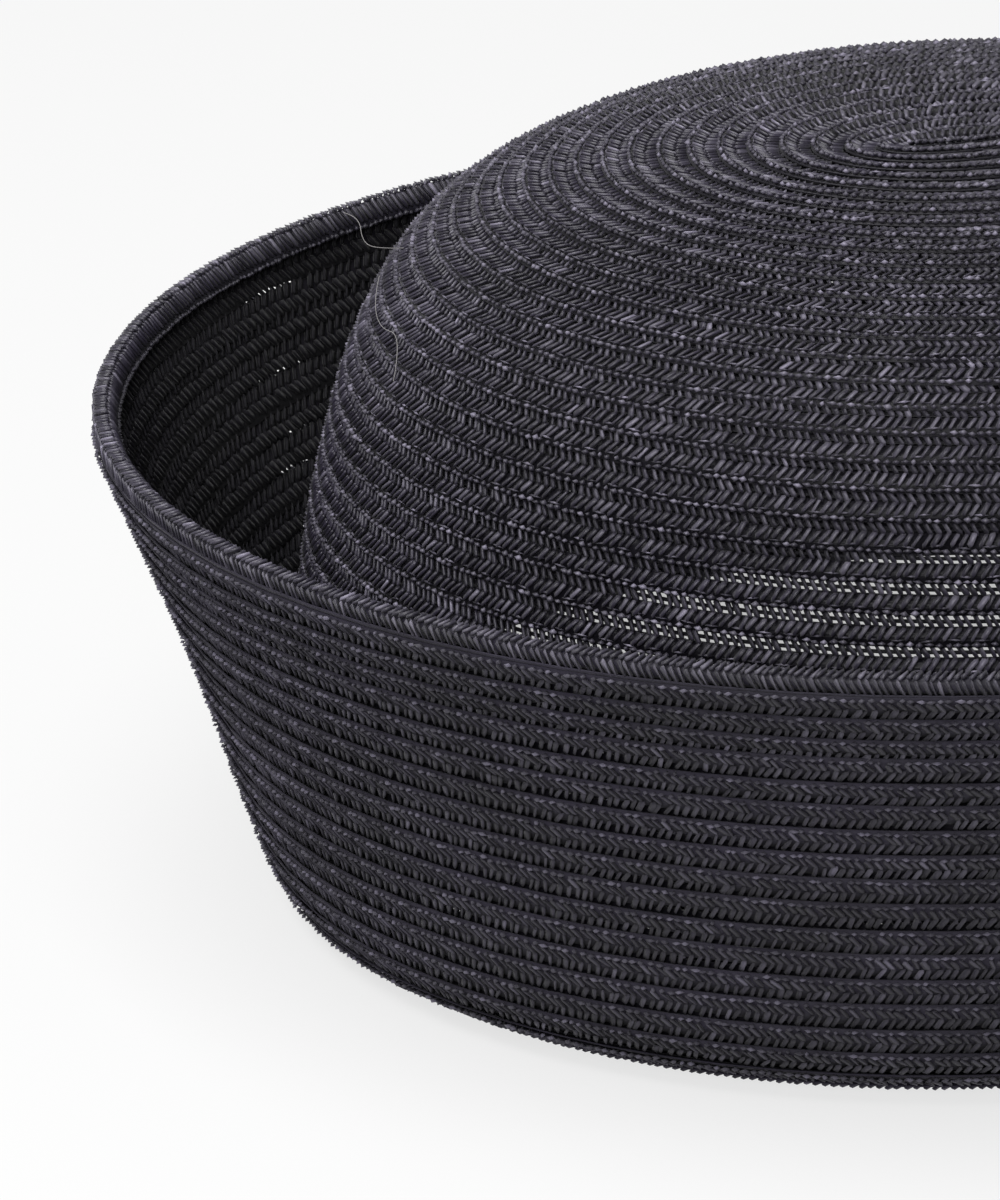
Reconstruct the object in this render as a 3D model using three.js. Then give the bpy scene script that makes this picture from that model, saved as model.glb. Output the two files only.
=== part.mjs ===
// Straw sailor cap: a domed oval crown, an all-round brim that is turned up, and the edge row that finishes
// the brim. Millimetres, +Z up. X runs along the length of the head, Y across it.
import * as THREE from 'three';
import { mergeVertices } from 'three/addons/utils/BufferGeometryUtils.js';

// ---------- driving dimensions ----------
const CROWN_WALL = 1.8;        // sewn straw rows of the crown, thickness
const BRIM_WALL = 1.6;         // sewn straw rows of the brim, thickness
const CLEARANCE = 0.3;         // gap kept between pieces that are sewn together
const AROUND = 72;             // facets around the oval

const BASE_INNER_REACH = 84.6; // half width of the opening in the base
const BASE_FLAT_REACH = 87.2;  // where the flat resting face ends
const BASE_FOLD_REACH = 90.5;  // how soft the fold is between the base and the brim
const BASE_TOP_REACH = 88.6;   // where the base's upper face starts to fold up
const BASE_TURN_REACH = 93.6;  // half width where the brim starts to rise
const BASE_TURN_HEIGHT = 5.2;
const BRIM_TOP_HEIGHT = 66.5;  // top of the sewn brim, under the edge row
const INNER_CORNER = 0.6;      // softening of the inner edge of the base

const EDGE_RISE = 2.7;         // how far the edge row stands above the sewn brim
const EDGE_TUCK = 4.2;         // how far it hangs down inside the brim
const EDGE_WALL = 1.6;
const EDGE_ROUND = 0.8;

// Extra half length of the oval over its half width: the rows start on a long narrow tip and grow rounder.
const OVAL = [
  { reach: 0, extra: 8.0 },
  { reach: 90, extra: 5.5 },
  { reach: 120, extra: 3.5 },
];

// Outside of the crown, from the tip down to the base.
const CROWN_OUTSIDE = [
  { reach: 0.0, height: 104.0 },
  { reach: 24.2, height: 104.8 },
  { reach: 44.6, height: 102.8 },
  { reach: 58.8, height: 98.2 },
  { reach: 70.4, height: 89.7 },
  { reach: 78.5, height: 77.0 },
  { reach: 83.4, height: 61.5 },
  { reach: 86.6, height: 45.0 },
  { reach: 87.9, height: 22.0 },
  { reach: 88.0, height: BRIM_WALL + CLEARANCE },
];

// Outside of the brim, from the turn at the base up to its sewn top.
const BRIM_OUTSIDE = [
  { reach: BASE_TURN_REACH, height: BASE_TURN_HEIGHT },
  { reach: 98.2, height: 15.4 },
  { reach: 102.2, height: 27.8 },
  { reach: 106.5, height: 40.2 },
  { reach: 111.1, height: 52.4 },
  { reach: 116.6, height: BRIM_TOP_HEIGHT },
];
const CROWN_STEPS = 17;
const BRIM_STEPS = 7;

// ---------- materials ----------
const blackStraw = new THREE.MeshStandardMaterial({ color: 0x1b1b20, roughness: 0.62, metalness: 0 });
const brimStraw = new THREE.MeshStandardMaterial({ color: 0x19191e, roughness: 0.66, metalness: 0 });
const edgeStraw = new THREE.MeshStandardMaterial({ color: 0x222227, roughness: 0.6, metalness: 0 });

// ---------- helpers ----------

// The extra half length of the oval at a given half width.
function ovalExtra(reach) {
  const upper = OVAL.findIndex((row) => row.reach >= reach);
  const to = OVAL[Math.max(upper, 1)];
  const from = OVAL[Math.max(upper, 1) - 1];
  return THREE.MathUtils.mapLinear(reach, from.reach, to.reach, from.extra, to.extra);
}

// Evenly spaced points along a smooth curve through the rows of a table.
function smoothOutline(table, steps) {
  const curve = new THREE.SplineCurve(table.map((row) => new THREE.Vector2(row.reach, row.height)));
  return curve.getSpacedPoints(steps);
}

// The same outline moved to its inner side by a wall's thickness, with each end cut square to its own axis.
function insideOf(outline, wall) {
  return outline.map((point, index) => {
    const before = outline[Math.max(index - 1, 0)];
    const after = outline[Math.min(index + 1, outline.length - 1)];
    const along = after.clone().sub(before).normalize();
    return new THREE.Vector2(point.x + along.y * wall, point.y - along.x * wall);
  });
}

// A closed or axis-to-axis profile swept around +Z and drawn out into the oval, with its faces pointing out.
function sweepOval(profile) {
  const ordered = THREE.ShapeUtils.isClockWise(profile) ? [...profile].reverse() : profile;
  const lathe = new THREE.LatheGeometry(ordered, AROUND);
  lathe.rotateX(Math.PI / 2);
  lathe.deleteAttribute('normal');
  lathe.deleteAttribute('uv');
  const position = lathe.getAttribute('position');
  for (let index = 0; index < position.count; index += 1) {
    const x = position.getX(index);
    const reach = Math.hypot(x, position.getY(index));
    if (reach > 0.01) position.setX(index, x * (1 + ovalExtra(reach) / reach));
  }
  const solid = mergeVertices(lathe, 1e-4);
  solid.computeVertexNormals();
  return solid;
}

function piece(name, profile, material) {
  const mesh = new THREE.Mesh(sweepOval(profile), material);
  mesh.name = name;
  return mesh;
}

// ---------- crown ----------
function crownProfile() {
  const outside = smoothOutline(CROWN_OUTSIDE, CROWN_STEPS);
  const inside = insideOf(outside, CROWN_WALL);
  inside[0].set(0, outside[0].y - CROWN_WALL);
  const foot = outside[outside.length - 1];
  inside[inside.length - 1].set(foot.x - CROWN_WALL, foot.y);
  return [...outside, ...inside.reverse()];
}

// ---------- brim ----------
function brimWall() {
  const outside = smoothOutline(BRIM_OUTSIDE, BRIM_STEPS);
  const inside = insideOf(outside, -BRIM_WALL);
  return { outside, inside };
}

function brimProfile() {
  const { outside, inside } = brimWall();
  const turn = new THREE.QuadraticBezierCurve(
    new THREE.Vector2(BASE_FLAT_REACH, 0),
    new THREE.Vector2(BASE_FOLD_REACH, 0),
    outside[0],
  ).getPoints(3);
  const floorRow = [
    new THREE.Vector2(BASE_TOP_REACH, BRIM_WALL),
    new THREE.Vector2(BASE_INNER_REACH + INNER_CORNER, BRIM_WALL),
    new THREE.Vector2(BASE_INNER_REACH, BRIM_WALL - INNER_CORNER),
    new THREE.Vector2(BASE_INNER_REACH, INNER_CORNER),
    new THREE.Vector2(BASE_INNER_REACH + INNER_CORNER, 0),
  ];
  return [...turn, ...outside.slice(1), ...inside.reverse(), ...floorRow, turn[0].clone()];
}

// ---------- edge row ----------
function edgeProfile() {
  const { outside } = brimWall();
  const top = outside[outside.length - 1];
  const up = top.clone().sub(outside[outside.length - 2]).normalize();
  const inward = new THREE.Vector2(-up.y, up.x);
  const at = (rise, depth) => top.clone().addScaledVector(up, rise).addScaledVector(inward, depth);
  const legFront = BRIM_WALL + CLEARANCE;
  const legBack = legFront + EDGE_WALL;
  return [
    at(CLEARANCE, 0.1),
    at(EDGE_RISE - EDGE_ROUND, 0.1),
    at(EDGE_RISE, 0.1 + EDGE_ROUND),
    at(EDGE_RISE, legBack - EDGE_ROUND),
    at(EDGE_RISE - EDGE_ROUND, legBack),
    at(0.4 * EDGE_ROUND - EDGE_TUCK, legBack),
    at(-EDGE_TUCK, legBack - 0.4 * EDGE_ROUND),
    at(-EDGE_TUCK, legFront),
    at(CLEARANCE, legFront),
    at(CLEARANCE, 0.1),
  ];
}

// ---------- assembly ----------
const cap = new THREE.Group();
cap.name = 'sailor_cap';
cap.add(piece('crown', crownProfile(), blackStraw));
cap.add(piece('brim', brimProfile(), brimStraw));
cap.add(piece('edge_row', edgeProfile(), edgeStraw));

export default cap;
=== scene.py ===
"""A sailor cap of sewn black straw braid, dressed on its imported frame.

The crown and the brim are each one long braid laid round and round, every round lapping the next one. Here
each round is built from its own strands: long slanted strands, shorter ones slanted the other way and tucked
under the round before, and the row of small turns where the strands fold over at the braid's open edge.
"""
from __future__ import annotations

import logging
import math
from dataclasses import dataclass, field, replace
from enum import Enum
from typing import Sequence

import bmesh
import bpy
import numpy as np
from mathutils import Matrix, Vector

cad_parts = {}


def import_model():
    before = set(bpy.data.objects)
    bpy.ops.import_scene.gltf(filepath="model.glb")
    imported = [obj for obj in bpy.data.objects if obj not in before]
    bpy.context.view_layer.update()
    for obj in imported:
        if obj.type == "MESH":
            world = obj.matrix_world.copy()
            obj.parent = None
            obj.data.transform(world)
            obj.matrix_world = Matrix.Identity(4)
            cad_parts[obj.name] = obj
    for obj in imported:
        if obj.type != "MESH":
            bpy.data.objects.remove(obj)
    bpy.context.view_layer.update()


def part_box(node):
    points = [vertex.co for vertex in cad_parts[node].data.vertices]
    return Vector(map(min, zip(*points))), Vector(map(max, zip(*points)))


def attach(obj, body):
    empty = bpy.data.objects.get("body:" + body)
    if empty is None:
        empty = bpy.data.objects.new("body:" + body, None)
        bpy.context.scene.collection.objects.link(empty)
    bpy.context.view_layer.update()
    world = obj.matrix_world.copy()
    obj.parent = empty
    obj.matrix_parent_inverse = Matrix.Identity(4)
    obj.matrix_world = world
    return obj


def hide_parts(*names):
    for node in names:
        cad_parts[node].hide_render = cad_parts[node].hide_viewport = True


LOG = logging.getLogger("sailor_cap")
MM = 0.001
TURN = 2.0 * math.pi


# ---------------------------------------------------------------- finishes
class Nodes:
    """A small helper that adds and links shader nodes in one material."""

    def __init__(self, name: str) -> None:
        """Start an empty node material.

        Args:
            name: The material's name.
        """
        self.material = bpy.data.materials.new(name)
        self.material.use_nodes = True
        self.tree = self.material.node_tree
        self.tree.nodes.clear()

    def add(self, kind: str, **values: object) -> bpy.types.Node:
        """Add a node, set its properties and unlinked sockets, and return it.

        Args:
            kind: The node's type name.
            **values: Property values, or socket values with spaces written as underscores.

        Returns:
            The new node.
        """
        node = self.tree.nodes.new(kind)
        for key, value in values.items():
            if hasattr(node, key):
                setattr(node, key, value)
            else:
                node.inputs[key.replace("_", " ")].default_value = value
        return node

    def link(self, source: bpy.types.NodeSocket, target: bpy.types.NodeSocket) -> None:
        """Join an output to an input."""
        self.tree.links.new(source, target)

    def span(
        self, value: bpy.types.NodeSocket, low: float, high: float, start: float = 0.0, end: float = 1.0
    ) -> bpy.types.NodeSocket:
        """Carry a value from one range to another.

        Args:
            value: What is carried.
            low: The result where the value is at its start.
            high: The result where the value is at its end.
            start: The value's own start.
            end: The value's own end.

        Returns:
            The result.
        """
        node = self.add("ShaderNodeMapRange", From_Min=start, From_Max=end, To_Min=low, To_Max=high)
        self.link(value, node.inputs["Value"])
        return node.outputs["Result"]

    def ramp(self, factor: bpy.types.NodeSocket, stops: Sequence[tuple[float, tuple]]) -> bpy.types.NodeSocket:
        """Add a colour ramp.

        Args:
            factor: What drives the ramp.
            stops: Pairs of position and linear colour.

        Returns:
            The ramp's colour output.
        """
        node = self.add("ShaderNodeValToRGB")
        elements = node.color_ramp.elements
        while len(elements) < len(stops):
            elements.new(0.5)
        for element, (position, colour) in zip(elements, stops):
            element.position = position
            element.color = (*colour, 1.0)
        self.link(factor, node.inputs["Fac"])
        return node.outputs["Color"]


@dataclass(frozen=True)
class StrawFinish:
    """Dyed paper straw: near black, softly glossy, with fine creases along every strand.

    Deep and worn are its colours on a dark and on a pale strand. Shade is how much of the deep colour is left on the
    braid's under side, whose tone lies below that of any strand: painted shade for the gaps and grooves between
    strands.
    """

    name: str
    deep: tuple[float, float, float]
    worn: tuple[float, float, float]
    rough_low: float = 0.30
    rough_high: float = 0.52
    crease: float = 0.35
    shade: float = 0.25
    shine: float = 0.5
    shaded_shine: float = 0.44
    under_side: float = 0.06
    palest: float = 1.9
    patchiness: tuple[float, float] = (0.8, 1.25)

    def build(self) -> bpy.types.Material:
        """Make the material.

        Returns:
            The finished material.
        """
        nodes = Nodes(self.name)
        shader = nodes.add("ShaderNodeBsdfPrincipled")
        shader.inputs["Sheen Weight"].default_value = 0.08
        shader.inputs["Sheen Roughness"].default_value = 0.5
        output = nodes.add("ShaderNodeOutputMaterial")
        nodes.link(shader.outputs["BSDF"], output.inputs["Surface"])

        tone = nodes.add("ShaderNodeAttribute", attribute_name="tone").outputs["Fac"]
        # Tone 0, the braid's under side, takes painted shade: a dark share of the deep colour.
        shade = nodes.ramp(
            tone,
            (
                (0.0, tuple(self.shade * part for part in self.deep)),
                (self.under_side, tuple(0.6 * part for part in self.deep)),
                (0.45, self.deep),
                (0.85, self.worn),
                (1.0, tuple(self.palest * part for part in self.worn)),
            ),
        )
        shine = nodes.span(tone, self.shaded_shine * self.shine, self.shine, end=self.under_side)
        nodes.link(shine, shader.inputs["Specular IOR Level"])
        place = nodes.add("ShaderNodeTexCoord").outputs["Object"]
        dust = nodes.add("ShaderNodeTexNoise", Scale=55.0, Detail=3.0)
        nodes.link(place, dust.inputs["Vector"])
        patchy = nodes.span(dust.outputs["Fac"], *self.patchiness, start=0.3, end=0.7)
        tinted = nodes.add("ShaderNodeMix", data_type="RGBA", blend_type="MULTIPLY")
        tinted.inputs["Factor"].default_value = 1.0
        nodes.link(shade, tinted.inputs["A"])
        nodes.link(patchy, tinted.inputs["B"])
        nodes.link(tinted.outputs["Result"], shader.inputs["Base Color"])

        along = nodes.add("ShaderNodeUVMap", uv_map="strand").outputs["UV"]
        shifted = nodes.add("ShaderNodeVectorMath", operation="MULTIPLY_ADD")
        shifted.inputs[1].default_value = (2.0, 9.0, 1.0)
        nodes.link(along, shifted.inputs[0])
        spread = nodes.add("ShaderNodeVectorMath", operation="SCALE")
        spread.inputs[0].default_value = (37.0, 71.0, 13.0)
        nodes.link(tone, spread.inputs["Scale"])
        nodes.link(spread.outputs["Vector"], shifted.inputs[2])
        crease = nodes.add("ShaderNodeTexNoise", Scale=1.6, Detail=2.0)
        nodes.link(shifted.outputs["Vector"], crease.inputs["Vector"])
        bump = nodes.add("ShaderNodeBump")
        bump.inputs["Strength"].default_value = self.crease
        bump.inputs["Distance"].default_value = 0.25 * MM
        nodes.link(crease.outputs["Fac"], bump.inputs["Height"])
        nodes.link(bump.outputs["Normal"], shader.inputs["Normal"])
        roughness = nodes.span(crease.outputs["Fac"], self.rough_low, self.rough_high)
        nodes.link(roughness, shader.inputs["Roughness"])
        return nodes.material


@dataclass(frozen=True)
class FloorFinish:
    """A pale table top lit from below, with room left for soft shadows."""

    name: str = "pale_table"
    glow: float = 0.706
    paint: float = 0.18

    def build(self) -> bpy.types.Material:
        """Make the material.

        Returns:
            The finished material.
        """
        nodes = Nodes(self.name)
        shader = nodes.add("ShaderNodeBsdfPrincipled")
        shader.inputs["Base Color"].default_value = (self.paint, self.paint, self.paint, 1.0)
        shader.inputs["Roughness"].default_value = 0.9
        shader.inputs["Specular IOR Level"].default_value = 0.0
        shader.inputs["Emission Color"].default_value = (1.0, 1.0, 1.0, 1.0)
        shader.inputs["Emission Strength"].default_value = self.glow
        output = nodes.add("ShaderNodeOutputMaterial")
        nodes.link(shader.outputs["BSDF"], output.inputs["Surface"])
        return nodes.material


# ---------------------------------------------------------------- the cap's walls
@dataclass(frozen=True)
class OvalPlan:
    """How much longer than wide the oval of a round is, by the round's half width."""

    tip: float = 8.0 * MM
    base: float = 5.5 * MM
    rim: float = 3.5 * MM
    base_reach: float = 90.0 * MM
    rim_reach: float = 120.0 * MM

    def extra(self, reach: np.ndarray) -> np.ndarray:
        """Return the extra half length at each half width."""
        return np.interp(reach, (0.0, self.base_reach, self.rim_reach), (self.tip, self.base, self.rim))


class Outline:
    """A smooth outline in reach and height, measured along its own length."""

    def __init__(self, stations: Sequence[tuple[float, float]], between: int = 40) -> None:
        """Lay a smooth curve through the stations.

        Args:
            stations: Reach and height of each station, in metres, in order.
            between: How many steps to take from one station to the next.
        """
        points = np.array(stations)
        padded = np.vstack((2 * points[0] - points[1], points, 2 * points[-1] - points[-2]))
        share = np.linspace(0.0, 1.0, between, endpoint=False)[:, None]
        pieces = []
        for before, start, end, after in zip(padded, padded[1:], padded[2:], padded[3:]):
            pull = (
                2 * start
                + (end - before) * share
                + (2 * before - 5 * start + 4 * end - after) * share**2
                + (3 * start - before - 3 * end + after) * share**3
            )
            pieces.append(0.5 * pull)
        dense = np.vstack((*pieces, points[-1:]))
        steps = np.hypot(*np.diff(dense, axis=0).T)
        self.arc = np.concatenate(([0.0], np.cumsum(steps)))
        self.reach, self.height = dense.T
        self.slope_reach = np.gradient(self.reach, self.arc)
        self.slope_height = np.gradient(self.height, self.arc)

    @property
    def length(self) -> float:
        """The outline's full length."""
        return float(self.arc[-1])

    def at(self, arc: np.ndarray) -> tuple[np.ndarray, np.ndarray, np.ndarray, np.ndarray]:
        """Look the outline up.

        Args:
            arc: Distances along the outline. Past either end it runs on straight.

        Returns:
            Reach, height, and the outline's direction in reach and in height.
        """
        inside = np.clip(arc, 0.0, self.length)
        beyond = arc - inside
        toward_reach = np.interp(inside, self.arc, self.slope_reach)
        toward_height = np.interp(inside, self.arc, self.slope_height)
        reach = np.interp(inside, self.arc, self.reach) + beyond * toward_reach
        height = np.interp(inside, self.arc, self.height) + beyond * toward_height
        return reach, height, toward_reach, toward_height


@dataclass
class Wall:
    """An outline carried round the oval. Its outer side is on the left or on the right of the outline."""

    outline: Outline
    plan: OvalPlan = field(default_factory=OvalPlan)
    outward: float = 1.0

    def place(self, angle: np.ndarray, arc: np.ndarray, out: np.ndarray) -> np.ndarray:
        """Turn wall coordinates into places in the frame.

        Args:
            angle: Angle round the cap, in radians.
            arc: Distance along the outline.
            out: Distance out of the wall.

        Returns:
            One row of X, Y and Z for each entry.
        """
        reach, height, toward_reach, toward_height = self.outline.at(arc)
        reach = np.maximum(reach, 0.05 * MM)
        long_half = reach + self.plan.extra(reach)
        across = np.stack((np.cos(angle) / long_half, np.sin(angle) / reach), axis=-1)
        across /= np.linalg.norm(across, axis=-1, keepdims=True)
        lean = -toward_height * self.outward
        rise = toward_reach * self.outward
        return np.stack(
            (
                long_half * np.cos(angle) + out * lean * across[..., 0],
                reach * np.sin(angle) + out * lean * across[..., 1],
                height + out * rise,
            ),
            axis=-1,
        )

    def stride(self, angle: np.ndarray, arc: np.ndarray) -> np.ndarray:
        """Measure how far one radian of angle goes round the wall.

        Args:
            angle: Angle round the cap.
            arc: Distance along the outline.

        Returns:
            The distance at each entry.
        """
        reach = np.maximum(self.outline.at(arc)[0], 0.6 * MM)
        long_half = reach + self.plan.extra(reach)
        return np.hypot(long_half * np.sin(angle), reach * np.cos(angle))


@dataclass
class Rounds:
    """The line that the braid's open edge follows: one round after another along a wall."""

    wall: Wall
    turns: Sequence[float]
    arcs: Sequence[float]
    start_angle: float
    wobble: float = 0.22 * MM
    wave_rate: float = 2.17
    wave_height: float = 2.2
    inset: float = 0.0
    seed: int = 3

    def edge(self, turn: np.ndarray) -> np.ndarray:
        """Find where the open edge is along the outline.

        Args:
            turn: How many turns the braid has made.

        Returns:
            The distance along the outline, with the small wander of hand-guided sewing.
        """
        arc = np.interp(turn, self.turns, self.arcs)
        rng = np.random.default_rng(self.seed)
        waves = rng.uniform((0.7, 0.0, 0.3), (6.5, TURN, 1.0), (9, 3))
        drift = np.zeros_like(arc)
        for rate, phase, share in waves:
            drift += share * np.sin(turn * rate * self.wave_rate + phase) / len(waves)
        return arc + self.wave_height * self.wobble * drift

    def angle(self, turn: np.ndarray) -> np.ndarray:
        """Return the angle round the cap after so many turns."""
        return self.start_angle + TURN * turn

    def pitch(self, turn: np.ndarray) -> np.ndarray:
        """Return the distance back from a round's open edge to that of the round before."""
        later = np.maximum(turn, self.turns[0] + 1.0)
        return np.interp(later, self.turns, self.arcs) - np.interp(later - 1.0, self.turns, self.arcs)

    def stations(self, first: float, last: float, step: float) -> tuple[np.ndarray, np.ndarray]:
        """Space points evenly along the braid.

        Args:
            first: Turn to start at.
            last: Turn to end at.
            step: Distance between the points.

        Returns:
            The turn at each point, and the turns that one metre of braid takes there.
        """
        turns = np.linspace(first, last, max(int((last - first) * 720), 8))
        angle, arc = self.angle(turns), self.edge(turns)
        speed = self.wall.stride(angle, arc) * TURN
        travel = np.concatenate(([0.0], np.cumsum(0.5 * (speed[1:] + speed[:-1]) * np.diff(turns))))
        count = max(int(travel[-1] / step), 1)
        marks = (np.arange(count) + 0.5) * travel[-1] / count
        at = np.interp(marks, travel, turns)
        return at, 1.0 / np.interp(at, turns, speed)


# ---------------------------------------------------------------- strands
class Section(Enum):
    """The shape that a strand is drawn from: its sides, and its steps from end to end."""

    WEDGE = (3, 3)
    BEAD = (4, 2)


@dataclass(frozen=True)
class Strand:
    """One visible stretch of a strand, in the braid's own frame.

    Along runs with the braid, back runs from its open edge to its tucked edge, and lift stands out of the wall.
    """

    section: Section
    along: tuple[float, float]
    back: tuple[float, float]
    lift: tuple[float, float]
    half_width: float
    half_thick: float
    arch: float = 0.0
    blunt: float = 1.3
    # Raises or lowers the strand's tone: painted highlight on the crown's and brim's beads, painted shade on the
    # brim's inner face.
    light: float = 0.0


def strand_seed(section: Section, blunt: float) -> tuple[np.ndarray, np.ndarray]:
    """Make the small closed shape that every strand is drawn from.

    Args:
        section: How many sides it has.
        blunt: How far its two middle rings are moved towards its ends.

    Returns:
        Its vertices, within a unit cube, and its triangles.
    """
    shape = bmesh.new()
    sides, steps = section.value
    bmesh.ops.create_uvsphere(shape, u_segments=sides, v_segments=steps, radius=1.0)
    rings = [vertex for vertex in shape.verts if abs(vertex.co.z) < 0.9]
    bmesh.ops.scale(shape, vec=(1.155, 1.155, blunt), verts=rings)
    if section is Section.WEDGE:
        quarter = Matrix.Rotation(math.radians(90), 3, "Z")
        bmesh.ops.rotate(shape, cent=(0, 0, 0), matrix=quarter, verts=shape.verts)
    bmesh.ops.triangulate(shape, faces=shape.faces)
    bmesh.ops.recalc_face_normals(shape, faces=shape.faces)
    shape.verts.ensure_lookup_table()
    corners = np.array([vertex.co[:] for vertex in shape.verts])
    faces = np.array([[vertex.index for vertex in face.verts] for face in shape.faces])
    shape.free()
    return corners, faces


class Bundle:
    """Many small closed shapes gathered into one mesh."""

    def __init__(self) -> None:
        """Start empty."""
        self.corners: list[np.ndarray] = []
        self.faces: list[np.ndarray] = []
        self.maps: list[np.ndarray] = []
        self.tones: list[np.ndarray] = []
        self.count = 0

    def add(self, corners: np.ndarray, faces: np.ndarray, maps: np.ndarray, tones: np.ndarray) -> None:
        """Add copies of one shape.

        Args:
            corners: Copies by vertices by three.
            faces: The one shape's triangles.
            maps: The one shape's two map coordinates for each vertex.
            tones: One shade for each copy.
        """
        copies, size = corners.shape[:2]
        offsets = self.count + size * np.arange(copies)
        self.corners.append(corners.reshape(-1, 3))
        self.faces.append((faces[None] + offsets[:, None, None]).reshape(-1, 3))
        self.maps.append(np.tile(maps, (copies, 1)))
        self.tones.append(np.repeat(tones, size))
        self.count += copies * size

    def mesh(self, name: str) -> bpy.types.Mesh:
        """Join everything into a mesh with its map and its shades.

        Args:
            name: The mesh's name.

        Returns:
            The mesh.
        """
        corners, faces = np.vstack(self.corners), np.vstack(self.faces)
        maps, tones = np.vstack(self.maps), np.concatenate(self.tones)
        mesh = bpy.data.meshes.new(name)
        mesh.vertices.add(len(corners))
        mesh.vertices.foreach_set("co", corners.astype(np.float32).ravel())
        mesh.loops.add(faces.size)
        mesh.loops.foreach_set("vertex_index", faces.astype(np.int32).ravel())
        mesh.polygons.add(len(faces))
        mesh.polygons.foreach_set("loop_start", np.arange(0, faces.size, 3, dtype=np.int32))
        mesh.update(calc_edges=True)
        mesh.shade_smooth()
        layer = mesh.uv_layers.new(name="strand")
        layer.data.foreach_set("uv", maps[faces.ravel()].astype(np.float32).ravel())
        shade = mesh.attributes.new("tone", "FLOAT", "POINT")
        shade.data.foreach_set("value", tones.astype(np.float32))
        return mesh


@dataclass(frozen=True)
class Braid:
    """The plait that the cap is sewn from, as one round shows it."""

    step: float = 1.24 * MM
    proud: float = 0.42 * MM
    tilt: float = 0.235
    # Painted highlight: the bead's tone is raised for the light its proud edge catches.
    bead: Strand | None = Strand(
        Section.BEAD, (-0.60 * MM, 0.60 * MM), (0.34 * MM, 0.26 * MM), (0.15 * MM, 0.15 * MM),
        0.34 * MM, 0.38 * MM, light=0.24,
    )
    long: Strand = Strand(
        Section.WEDGE, (-0.66 * MM, 0.78 * MM), (0.66 * MM, 2.80 * MM), (0.08 * MM, 0.14 * MM),
        0.41 * MM, 0.38 * MM, arch=0.16 * MM, light=0.03,
    )
    short: Strand = Strand(
        Section.WEDGE, (0.86 * MM, -0.62 * MM), (2.40 * MM, 4.7 * MM), (0.16 * MM, 0.08 * MM),
        0.42 * MM, 0.38 * MM, arch=0.14 * MM,
    )
    extra: Strand | None = None
    stitch: Strand | None = None
    stitch_step: float = 3.6 * MM
    looseness: float = 1.0
    quick_spread: float = 3.0
    darkest: float = 0.08

    def strands(self) -> tuple[Strand, ...]:
        """The kinds of strand in one repeat."""
        return tuple(strand for strand in (self.bead, self.long, self.short, self.extra) if strand)

    def sew(self, bundle: Bundle, rounds: Rounds, first: float, last: float, seed: int) -> None:
        """Lay the sewing thread's long stitches just behind the open edge.

        Args:
            bundle: Where the stitches go.
            rounds: The line that the braid follows.
            first: Turn to start at.
            last: Turn to end at.
            seed: What the small differences between stitches are drawn from.
        """
        if self.stitch is None:
            return
        turn, per_metre = rounds.stations(first, last, self.stitch_step)
        rng = np.random.default_rng(seed)
        self._lay_one(bundle, rounds, self.stitch, turn, per_metre, np.ones((len(turn), 1)), rng)

    def lay(self, bundle: Bundle, rounds: Rounds, first: float, last: float, seed: int) -> None:
        """Lay the braid's strands along its rounds.

        Args:
            bundle: Where the strands go.
            rounds: The line that the braid follows.
            first: Turn to start at.
            last: Turn to end at.
            seed: What the small differences between strands are drawn from.
        """
        coarser = 1.0
        turn, per_metre = rounds.stations(first, last, self.step * coarser)
        spread = np.full((len(turn), 1), coarser)
        rng = np.random.default_rng(seed)
        for strand in self.strands():
            self._lay_one(bundle, rounds, strand, turn, per_metre, spread, rng)
        self.sew(bundle, rounds, first, last, seed)

    def _lay_one(
        self,
        bundle: Bundle,
        rounds: Rounds,
        strand: Strand,
        turn: np.ndarray,
        per_metre: np.ndarray,
        spread: np.ndarray,
        rng: np.random.Generator,
    ) -> None:
        """Lay one kind of strand, a copy at each station.

        Args:
            bundle: Where the strands go.
            rounds: The line that the braid follows.
            strand: The kind of strand.
            turn: The turn at each station.
            per_metre: The turns that one metre of braid takes at each station.
            spread: How much longer and wider than true each copy is drawn.
            rng: What the small differences between strands are drawn from.
        """
        corners, faces = strand_seed(strand.section, strand.blunt)
        count, loose = len(turn), self.looseness

        def jitter(size: float) -> np.ndarray:
            """Draw one small difference for each copy."""
            return rng.normal(0.0, size * loose, (count, 1))

        start_u, end_u = strand.along[0] + jitter(0.12 * MM), strand.along[1] + jitter(0.17 * MM)
        start_v, end_v = strand.back[0] + jitter(0.08 * MM), strand.back[1] + jitter(0.11 * MM)
        half_u, half_v = (end_u - start_u) / 2 * spread, (end_v - start_v) / 2
        length = np.hypot(half_u, half_v)
        width = strand.half_width * spread * np.clip(1.0 + jitter(0.16), 0.6, 1.4)
        x, y, z = corners.T
        u = (start_u + end_u) / 2 * spread + half_u * z + width * x * half_v / length
        v = (start_v + end_v) / 2 + half_v * z - width * x * half_u / length
        lean = strand.lift[0] + (strand.lift[1] - strand.lift[0]) * (z + 1) / 2
        lift = lean + jitter(0.05 * MM) + strand.half_thick * y + strand.arch * (1 - z * z)
        out = self.proud - self.tilt * v + lift + rounds.inset
        at = turn[:, None] + u * per_metre[:, None]
        arc = np.maximum(rounds.edge(at) - v, 0.02 * MM)
        places = rounds.wall.place(rounds.angle(at), arc, out)
        maps = np.stack(((z + 1) / 2, (x + 1) / 2), axis=-1)
        patch = 0.12 * np.sin(turn * 41.0) * np.sin(turn * 17.3 + 1.0)
        tones = np.clip(rng.beta(1.2, 2.0, count) + strand.light + patch, self.darkest, 1.0)
        bundle.add(places, faces, maps, tones)


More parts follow.
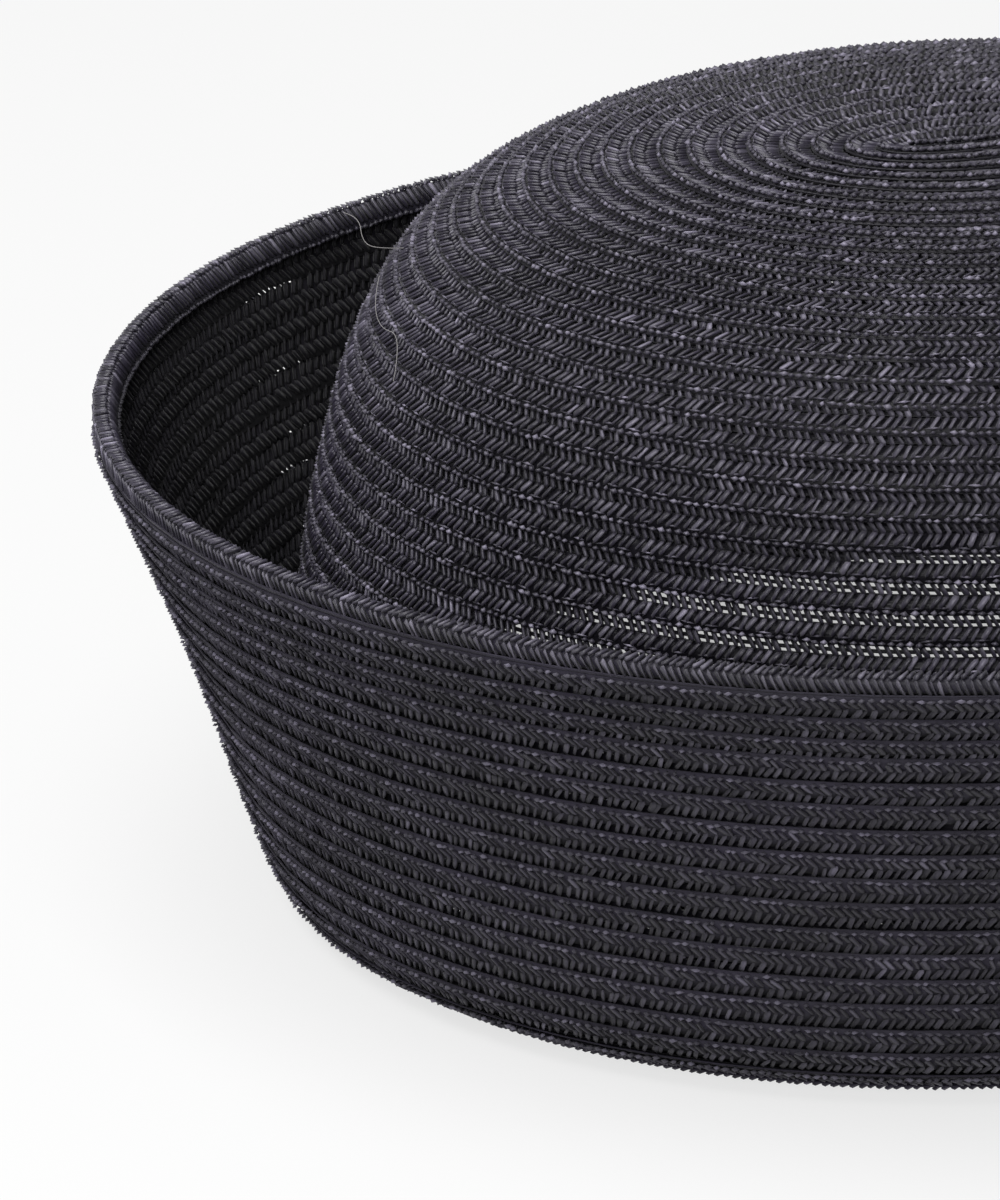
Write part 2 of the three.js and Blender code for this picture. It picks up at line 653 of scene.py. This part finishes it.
@dataclass(frozen=True)
class Backing:
    """The dark under side of the braid: thin bands behind the strands, with lines of gaps left between them.

    Their dark colour is painted shade, for the gaps and grooves between strands.
    Lengths are distances back from the open edge. Where the under side is open, the first band stops at open_far.
    """

    near: float = -0.05 * MM
    open_far: float = 2.66 * MM
    bar: tuple[float, float] | None = (3.04 * MM, 3.54 * MM)
    open_share: float = 1.0
    shut_below: float = -9.0
    past_next: float = 0.30 * MM
    depth: float = 0.42 * MM
    thick: float = 0.22 * MM
    facets: int = 72
    cuts_across: int = 0
    gate_rates: tuple[tuple[float, float], tuple[float, float]] = ((83.0, 131.0), (11.3, 5.1))

    def lay(self, bundle: Bundle, rounds: Rounds, braid: Braid, first: float, last: float) -> None:
        """Lay the bands behind the rounds.

        Args:
            bundle: Where they go.
            rounds: The line that the braid follows.
            braid: The braid that they back.
            first: Turn to start at.
            last: Turn to end at.
        """
        corners, faces = self._band(max(int((last - first) * self.facets), 4))
        turn = first + (last - first) * (corners[:, 0] + 0.5)
        fine, broad = self.gate_rates
        gate = np.sin(turn * fine[0] + 1.0) * np.sin(turn * broad[0])
        gate += 0.6 * np.sin(turn * fine[1]) * np.sin(turn * broad[1])
        is_open = (gate > 1.6 - 3.2 * self.open_share) & (turn >= self.shut_below)
        far = np.where(is_open, self.open_far, rounds.pitch(turn) + self.past_next)
        self._place(bundle, rounds, braid, corners, faces, turn, np.full_like(turn, self.near), far)
        if self.bar is not None:
            near, far = (np.full_like(turn, side) for side in self.bar)
            self._place(bundle, rounds, braid, corners, faces, turn, near, far)

    def _band(self, count: int) -> tuple[np.ndarray, np.ndarray]:
        """Make a closed unit band.

        Args:
            count: How many parts it is cut into along its length.

        Returns:
            Its vertices and its triangles.
        """
        band = bmesh.new()
        bmesh.ops.create_cube(band, size=1.0)
        if self.cuts_across:
            crosswise = [edge for edge in band.edges if abs(edge.verts[0].co.y - edge.verts[1].co.y) > 0.5]
            bmesh.ops.subdivide_edges(band, edges=crosswise, cuts=self.cuts_across, use_grid_fill=False)
        lengthwise = [edge for edge in band.edges if abs(edge.verts[0].co.x - edge.verts[1].co.x) > 0.5]
        bmesh.ops.subdivide_edges(band, edges=lengthwise, cuts=count - 1, use_grid_fill=False)
        bmesh.ops.triangulate(band, faces=band.faces)
        band.verts.ensure_lookup_table()
        corners = np.array([vertex.co[:] for vertex in band.verts])
        faces = np.array([[vertex.index for vertex in face.verts] for face in band.faces])
        band.free()
        return corners, faces

    def _place(
        self,
        bundle: Bundle,
        rounds: Rounds,
        braid: Braid,
        corners: np.ndarray,
        faces: np.ndarray,
        turn: np.ndarray,
        near: np.ndarray,
        far: np.ndarray,
    ) -> None:
        """Wrap one band round the wall.

        Args:
            bundle: Where it goes.
            rounds: The line that the braid follows.
            braid: The braid that it backs.
            corners: The unit band's vertices.
            faces: Its triangles.
            turn: The turn at each vertex.
            near: How far behind the open edge the band begins, at each vertex.
            far: How far behind the open edge it ends, at each vertex.
        """
        back = near + (far - near) * (0.5 - corners[:, 1])
        out = rounds.inset + braid.proud - braid.tilt * back - self.depth + self.thick * corners[:, 2]
        arc = np.maximum(rounds.edge(turn) - back, 0.02 * MM)
        places = rounds.wall.place(rounds.angle(turn), arc, out)
        maps = np.stack((corners[:, 0] + 0.5, corners[:, 1] + 0.5), axis=-1)
        # Tone 0 paints the band darker than any strand, as painted shade.
        bundle.add(places[None], faces, maps, np.array([0.0]))


# ---------------------------------------------------------------- sub-assemblies
def fitted(
    node: str, drawn_for: tuple[float, float], stations: Sequence[tuple[float, float]]
) -> list[tuple[float, float]]:
    """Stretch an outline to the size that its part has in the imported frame.

    Args:
        node: The part whose box sets the size.
        drawn_for: The half width and the height of the box that the outline was drawn for, in millimetres.
        stations: Reach and height of each station, in millimetres.

    Returns:
        The stations in metres.
    """
    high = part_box(node)[1]
    across, up = high.y / drawn_for[0], high.z / drawn_for[1]
    return [(reach * across, height * up) for reach, height in stations]


def show(name: str, mesh: bpy.types.Mesh, material: bpy.types.Material) -> bpy.types.Object:
    """Put a mesh in the scene as a piece of the cap.

    Args:
        name: The piece's name.
        mesh: Its mesh.
        material: Its finish.

    Returns:
        The new object.
    """
    mesh.materials.append(material)
    piece = bpy.data.objects.new(name, mesh)
    bpy.context.scene.collection.objects.link(piece)
    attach(piece, "root")
    LOG.info("%s: %d triangles", name, len(mesh.polygons))
    return piece


@dataclass
class Crown:
    """The domed crown: one braid wound from a long narrow tip down to the head opening."""

    slot: str = "crown_straw"
    node: str = "crown"
    drawn_for: tuple[float, float] = (88.03, 104.81)
    foot_lift: float = 1.9 * MM
    shape: tuple[tuple[float, float], ...] = (
        (0.0, 104.0), (24.2, 104.8), (44.6, 102.8), (58.9, 98.3), (70.7, 90.0),
        (78.6, 77.1), (83.4, 61.5), (86.6, 45.0), (87.9, 22.0), (88.0, 1.9),
    )
    round_turns: tuple[float, ...] = (-1.2, 0.0, 4.0, 8.0, 12.0, 16.0, 20.0, 25.0, 39.2)
    round_arcs: tuple[float, ...] = (0.8, 5.64, 24.3, 40.9, 56.1, 70.7, 85.6, 105.7, 165.4)
    start_angle: float = math.radians(-110.0)
    splits: tuple[float, ...] = (-1.2, 15.0, 22.0, 28.0, 34.0, 39.2)
    names: tuple[str, ...] = ("crown_tip", "crown_shoulder", "crown_side", "crown_skirt", "crown_foot")
    braid: Braid = Braid(
        stitch=Strand(
            Section.BEAD, (-1.15 * MM, 1.15 * MM), (0.92 * MM, 0.92 * MM), (0.30 * MM, 0.30 * MM),
            0.15 * MM, 0.16 * MM, light=0.22,
        )
    )
    backing: Backing = Backing()

    def build(self, finish: bpy.types.Material) -> list[bpy.types.Object]:
        """Build the crown's rounds, a few to each piece.

        Args:
            finish: The straw's material.

        Returns:
            The pieces.
        """
        wall = Wall(Outline(fitted(self.node, self.drawn_for, self.shape)))
        rounds = Rounds(wall, self.round_turns, [arc * MM for arc in self.round_arcs], self.start_angle)
        pieces = []
        for index, name in enumerate(self.names):
            bundle = Bundle()
            first, last = self.splits[index], self.splits[index + 1]
            self.braid.lay(bundle, rounds, first, last, seed=11 + index)
            self.backing.lay(bundle, rounds, self.braid, first, last)
            pieces.append(show(name, bundle.mesh(name), finish))
        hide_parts(self.node)
        return pieces


@dataclass
class Brim:
    """The turned-up brim: the same braid, sewn on at the base and wound up, each round lapping the one above."""

    slot: str = "brim_straw"
    node: str = "brim"
    drawn_for: tuple[float, float] = (116.60, 67.08)
    shape: tuple[tuple[float, float], ...] = (
        (84.6, 0.5), (87.4, 0.55), (90.2, 1.8), (92.2, 4.2), (93.9, 7.4), (97.5, 17.4),
        (101.6, 29.6), (106.1, 41.9), (111.3, 54.1), (116.8, 66.6),
    )
    row_pitch: float = 4.36 * MM
    rounds_below_rim: tuple[float, ...] = (-0.9, 3.3, 7.0, 10.3)
    start_angle: float = math.radians(-90.0)
    names: tuple[str, ...] = ("brim_fold", "brim_lower", "brim_middle", "brim_upper")
    fold_turns: float = 1.35
    braid: Braid = Braid(
        proud=0.34 * MM,
        tilt=0.225,
        looseness=1.3,
        # Painted highlight: the bead's tone is raised for the light its upward-facing edge catches.
        bead=Strand(
            Section.BEAD, (-0.58 * MM, 0.58 * MM), (0.28 * MM, 0.22 * MM), (0.16 * MM, 0.16 * MM),
            0.28 * MM, 0.36 * MM, light=0.42,
        ),
        long=Strand(
            Section.WEDGE, (-0.60 * MM, 0.66 * MM), (0.75 * MM, 2.75 * MM), (0.02 * MM, 0.0),
            0.42 * MM, 0.26 * MM, light=0.0,
        ),
        short=Strand(
            Section.WEDGE, (0.74 * MM, -0.56 * MM), (2.40 * MM, 5.1 * MM), (0.04 * MM, 0.06 * MM),
            0.42 * MM, 0.28 * MM, light=0.0,
        ),
    )
    backing: Backing = Backing(near=0.1 * MM, bar=None, open_far=3.5 * MM, open_share=0.36, shut_below=6.0)
    # Painted shade: the inner face's strands have their tone lowered (light -0.6).
    inner_braid: Braid = Braid(
        step=1.8 * MM,
        proud=0.0,
        tilt=-0.1,
        bead=None,
        long=Strand(
            Section.WEDGE, (-0.66 * MM, 0.78 * MM), (-0.4 * MM, 2.0 * MM), (0.0, 0.06 * MM),
            0.62 * MM, 0.30 * MM, arch=0.06 * MM, light=-0.6,
        ),
        short=Strand(
            Section.WEDGE, (0.86 * MM, -0.62 * MM), (1.7 * MM, 4.1 * MM), (0.06 * MM, 0.0),
            0.62 * MM, 0.30 * MM, arch=0.06 * MM, light=-0.6,
        ),
    )
    inner_rounds: float = 10.4
    wall_through: float = 1.75 * MM

    def wall(self, outward: float) -> Wall:
        """The brim's face, as seen from outside (-1) or from inside (+1)."""
        return Wall(Outline(fitted(self.node, self.drawn_for, self.shape)), outward=outward)

    def build(self, finish: bpy.types.Material, shaded: bpy.types.Material) -> list[bpy.types.Object]:
        """Build the brim's rounds, a few to each piece.

        Args:
            finish: The straw's material.
            shaded: The same straw painted darker, as painted shade, for its inner face.

        Returns:
            The pieces.
        """
        wall = self.wall(-1.0)
        arcs = [wall.outline.length - below * MM for below in self.rounds_below_rim]
        while arcs[-1] > self.row_pitch:
            arcs.append(arcs[-1] - self.row_pitch)
        arcs.reverse()
        turns = [float(index) for index in range(len(arcs))]
        rounds = Rounds(wall, turns, arcs, self.start_angle, seed=7)
        edges = (0.0, *np.linspace(self.fold_turns, turns[-1], len(self.names)))
        folded = replace(self.braid, bead=None, looseness=0.6, proud=0.34 * MM)
        pieces = []
        for index, name in enumerate(self.names):
            bundle = Bundle()
            first, last = float(edges[index]), float(edges[index + 1])
            braid = self.braid if index else folded
            braid.lay(bundle, rounds, first, last, seed=31 + index)
            self.backing.lay(bundle, rounds, self.braid, first, last)
            pieces.append(show(name, bundle.mesh(name), finish))
        bundle = Bundle()
        replace(self.backing, open_share=0.0).lay(bundle, rounds, self.braid, turns[-1], turns[-1] + 1.0)
        pieces.append(show("brim_top_band", bundle.mesh("brim_top_band"), finish))
        inner = Rounds(self.wall(1.0), turns, arcs, self.start_angle, inset=self.wall_through, seed=7)
        bundle = Bundle()
        self.inner_braid.lay(bundle, inner, turns[-1] - self.inner_rounds, turns[-1], seed=41)
        self.backing.lay(bundle, inner, self.inner_braid, 0.0, turns[-1])
        pieces.append(show("brim_inner_face", bundle.mesh("brim_inner_face"), shaded))
        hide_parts(self.node)
        return pieces


@dataclass
class EdgeRow:
    """The finishing braid: it stands above the brim, rolls over and is sewn down inside."""

    slot: str = "edge_straw"
    node: str = "edge_row"
    drawn_for: tuple[float, float] = (117.20, 70.00)
    top: tuple[float, float] = (116.8, 66.6)
    below: tuple[float, float] = (111.3, 54.1)
    path: tuple[tuple[float, float], ...] = (
        (0.2, 0.6), (1.3, 0.45), (2.25, 0.9), (2.6, 1.8), (2.25, 2.8), (0.8, 3.2), (-1.4, 3.2),
    )
    braid: Braid = Braid(
        step=1.0 * MM,
        proud=0.0,
        tilt=0.0,
        looseness=0.95,
        bead=Strand(
            Section.BEAD, (-0.56 * MM, 0.56 * MM), (0.30 * MM, 0.26 * MM), (0.0, 0.0), 0.36 * MM, 0.36 * MM,
            light=-0.35,
        ),
        long=Strand(
            Section.WEDGE, (-0.7 * MM, 0.6 * MM), (0.75 * MM, 3.8 * MM), (0.0, 0.10 * MM),
            0.40 * MM, 0.36 * MM, arch=0.1 * MM, light=0.02,
        ),
        short=Strand(
            Section.WEDGE, (0.62 * MM, -0.52 * MM), (3.5 * MM, 5.5 * MM), (0.12 * MM, 0.10 * MM),
            0.35 * MM, 0.38 * MM, arch=0.16 * MM, light=0.08,
        ),
        extra=Strand(
            Section.WEDGE, (-0.55 * MM, 0.60 * MM), (5.2 * MM, 7.9 * MM), (0.10 * MM, 0.0),
            0.35 * MM, 0.36 * MM, arch=0.14 * MM, light=0.02,
        ),
    )
    backing: Backing = Backing(near=0.1 * MM, bar=None, open_share=0.0, past_next=8.2 * MM, cuts_across=7)

    def build(self, finish: bpy.types.Material) -> bpy.types.Object:
        """Build the finishing braid.

        Args:
            finish: The straw's material.

        Returns:
            The piece.
        """
        top = Vector(self.top)
        up = (top - Vector(self.below)).normalized()
        inward = Vector((-up.y, up.x))
        stations = [tuple(top + up * rise + inward * depth) for rise, depth in self.path]
        wall = Wall(Outline(fitted(self.node, self.drawn_for, stations)), outward=-1.0)
        length = wall.outline.length
        rounds = Rounds(wall, (0.0, 1.0), (length, length), 0.0, wobble=0.1 * MM, seed=5)
        bundle = Bundle()
        self.braid.lay(bundle, rounds, 0.0, 1.0, seed=51)
        self.backing.lay(bundle, rounds, self.braid, 0.0, 1.0)
        piece = show("edge_braid", bundle.mesh("edge_braid"), finish)
        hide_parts(self.node)
        return piece


@dataclass(frozen=True)
class HairFinish:
    """A pale, fine fibre."""

    shade: tuple[float, float, float] = (0.22, 0.21, 0.21)

    def build(self) -> bpy.types.Material:
        """Make the material.

        Returns:
            The finished material.
        """
        nodes = Nodes("stray_fibre")
        shader = nodes.add("ShaderNodeBsdfPrincipled", Roughness=0.5)
        shader.inputs["Base Color"].default_value = (*self.shade, 1.0)
        output = nodes.add("ShaderNodeOutputMaterial")
        nodes.link(shader.outputs["BSDF"], output.inputs["Surface"])
        return nodes.material


@dataclass
class StrayFibres:
    """A few loose fibres that have caught on the cap."""

    slot: str = "crown_straw"
    thickness: float = 0.055 * MM
    paths: tuple[tuple[tuple[float, float, float], ...], ...] = (
        (
            (-75.0, 47.5, 87.3), (-73.0, 46.4, 86.8), (-74.0, 42.0, 84.8), (-74.3, 35.0, 85.8),
            (-73.8, 22.6, 89.8),
        ),
        (
            (-78.2, 19.8, 87.2), (-79.8, 17.5, 84.5), (-81.8, 8.2, 83.7), (-81.7, -2.2, 86.2),
            (-83.8, -4.5, 80.5),
        ),
    )

    def build(self, finish: bpy.types.Material) -> bpy.types.Object:
        """Build the fibres.

        Args:
            finish: Their material.

        Returns:
            The piece.
        """
        curve = bpy.data.curves.new("stray_fibres", "CURVE")
        curve.dimensions = "3D"
        curve.bevel_depth = self.thickness
        curve.bevel_resolution = 0
        curve.resolution_u = 8
        curve.use_fill_caps = True
        for path in self.paths:
            spline = curve.splines.new("NURBS")
            spline.points.add(len(path) - 1)
            for point, place in zip(spline.points, path):
                point.co = (*(Vector(place) * MM), 1.0)
            spline.order_u = 3
            spline.use_endpoint_u = True
        holder = bpy.data.objects.new("stray_fibres_path", curve)
        mesh = bpy.data.meshes.new_from_object(holder)
        bpy.data.objects.remove(holder)
        bpy.data.curves.remove(curve)
        mesh.name = "stray_fibres"
        mesh.materials.clear()
        return show("stray_fibres", mesh, finish)


@dataclass
class Studio:
    """The table, the soft lights and the camera."""

    azimuth: float = math.radians(-20.0)
    elevation: float = math.radians(21.9)
    distance: float = 1.471
    lens: float = 313.4
    pan: float = math.radians(2.548)
    nod: float = math.radians(1.332)
    pad_reach: tuple[float, float] = (0.0905, 0.0850)
    pad_foot: float = 0.003
    pad_top: float = 0.0115
    table_drop: float = 0.0005
    table_reach: float = 4.0
    room_light: float = 0.38
    lamps: tuple[tuple[str, tuple[float, float, float], float, float], ...] = (
        ("overhead_light", (-0.42, -0.05, 1.10), 1.0, 17.0),
        ("front_light", (-0.7, -1.2, 0.8), 0.55, 9.0),
    )

    def build(self) -> None:
        """Set up the table, the light and the camera."""
        self._table()
        self._lights()
        self._camera()

    def _table(self) -> None:
        """A wide pale table top, just under the cap."""
        top = bmesh.new()
        bmesh.ops.create_grid(top, x_segments=1, y_segments=1, size=self.table_reach)
        mesh = bpy.data.meshes.new("table_top")
        top.to_mesh(mesh)
        top.free()
        mesh.materials.append(FloorFinish().build())
        # The pad glows as painted light: it stands in for the light that shows through the braid's gaps.
        self._pad(FloorFinish("painted_light_pad", glow=0.50).build())
        table = bpy.data.objects.new("table_top", mesh)
        table.location.z = -self.table_drop
        bpy.context.scene.collection.objects.link(table)

    def _pad(self, finish: bpy.types.Material) -> None:
        """Stand a white disc just over the table, inside the cap, for the light in its gaps.

        Args:
            finish: The disc's material, which glows as painted light.
        """
        pad = bmesh.new()
        depth = self.pad_top - self.pad_foot
        bmesh.ops.create_cone(pad, cap_ends=True, segments=64, radius1=1.0, radius2=1.0, depth=depth)
        bmesh.ops.scale(pad, vec=(self.pad_reach[0], self.pad_reach[1], 1.0), verts=pad.verts)
        bmesh.ops.translate(pad, vec=(0.0, 0.0, (self.pad_top + self.pad_foot) / 2), verts=pad.verts)
        mesh = bpy.data.meshes.new("painted_light_pad")
        pad.to_mesh(mesh)
        pad.free()
        mesh.materials.append(finish)
        holder = bpy.data.objects.new("painted_light_pad", mesh)
        bpy.context.scene.collection.objects.link(holder)

    def _lights(self) -> None:
        """A pale room and two large soft lights."""
        scene = bpy.context.scene
        world = bpy.data.worlds.new("pale_room")
        world.use_nodes = True
        world.node_tree.nodes["Background"].inputs["Color"].default_value = (1.0, 1.0, 1.0, 1.0)
        world.node_tree.nodes["Background"].inputs["Strength"].default_value = self.room_light
        scene.world = world
        scene.view_settings.view_transform = "Standard"
        for name, place, size, power in self.lamps:
            lamp = bpy.data.lights.new(name, "AREA")
            lamp.size = size
            lamp.energy = power
            holder = bpy.data.objects.new(name, lamp)
            holder.location = place
            holder.rotation_mode = "QUATERNION"
            holder.rotation_quaternion = (-Vector(place)).to_track_quat("-Z", "Y")
            scene.collection.objects.link(holder)

    def _camera(self) -> None:
        """A long lens, turned so that the cap's centre sits low at the right of the frame."""
        back = Vector(
            (
                math.sin(self.azimuth) * math.cos(self.elevation),
                -math.cos(self.azimuth) * math.cos(self.elevation),
                math.sin(self.elevation),
            )
        )
        lens = bpy.data.cameras.new("camera")
        lens.sensor_width = 36.0
        lens.lens = self.lens
        lens.clip_start, lens.clip_end = 0.05, 20.0
        holder = bpy.data.objects.new("camera", lens)
        level = (-back).to_track_quat("-Z", "Y").to_matrix()
        aim = level @ Matrix.Rotation(self.pan, 3, "Y") @ Matrix.Rotation(self.nod, 3, "X")
        holder.matrix_world = Matrix.Translation(back * self.distance) @ aim.to_4x4()
        bpy.context.scene.collection.objects.link(holder)
        bpy.context.scene.camera = holder


CROWN_STRAW = StrawFinish("crown_straw", deep=(0.0262, 0.0222, 0.0385), worn=(0.083, 0.076, 0.103))
# Painted shade: the crown's straw painted darker for the brim's downward-facing outside, with a rougher, duller
# finish.
BRIM_STRAW_PAINTED_SHADE = StrawFinish(
    "brim_straw", deep=(0.0200, 0.0168, 0.0300), worn=(0.050, 0.0455, 0.065),
    rough_low=0.48, rough_high=0.72, crease=0.55, shade=0.85,
)
# Painted shade: the brim's straw painted darker and duller for the brim's shadowed inner face.
BRIM_INNER_PAINTED_SHADE = replace(
    BRIM_STRAW_PAINTED_SHADE, name="brim_inner_painted_shade", deep=(0.007, 0.006, 0.010), worn=(0.02, 0.018, 0.025), shine=0.16
)
EDGE_STRAW = StrawFinish("edge_straw", deep=(0.026, 0.0225, 0.038), worn=(0.085, 0.078, 0.105), shade=0.6)


def main() -> None:
    """Load the frame, build the cap on it and set the studio round it."""
    logging.basicConfig(level=logging.INFO, format="%(message)s")
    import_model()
    Studio().build()
    Crown().build(CROWN_STRAW.build())
    Brim().build(BRIM_STRAW_PAINTED_SHADE.build(), BRIM_INNER_PAINTED_SHADE.build())
    EdgeRow().build(EDGE_STRAW.build())
    StrayFibres().build(HairFinish().build())


if __name__ == "__main__":
    main()
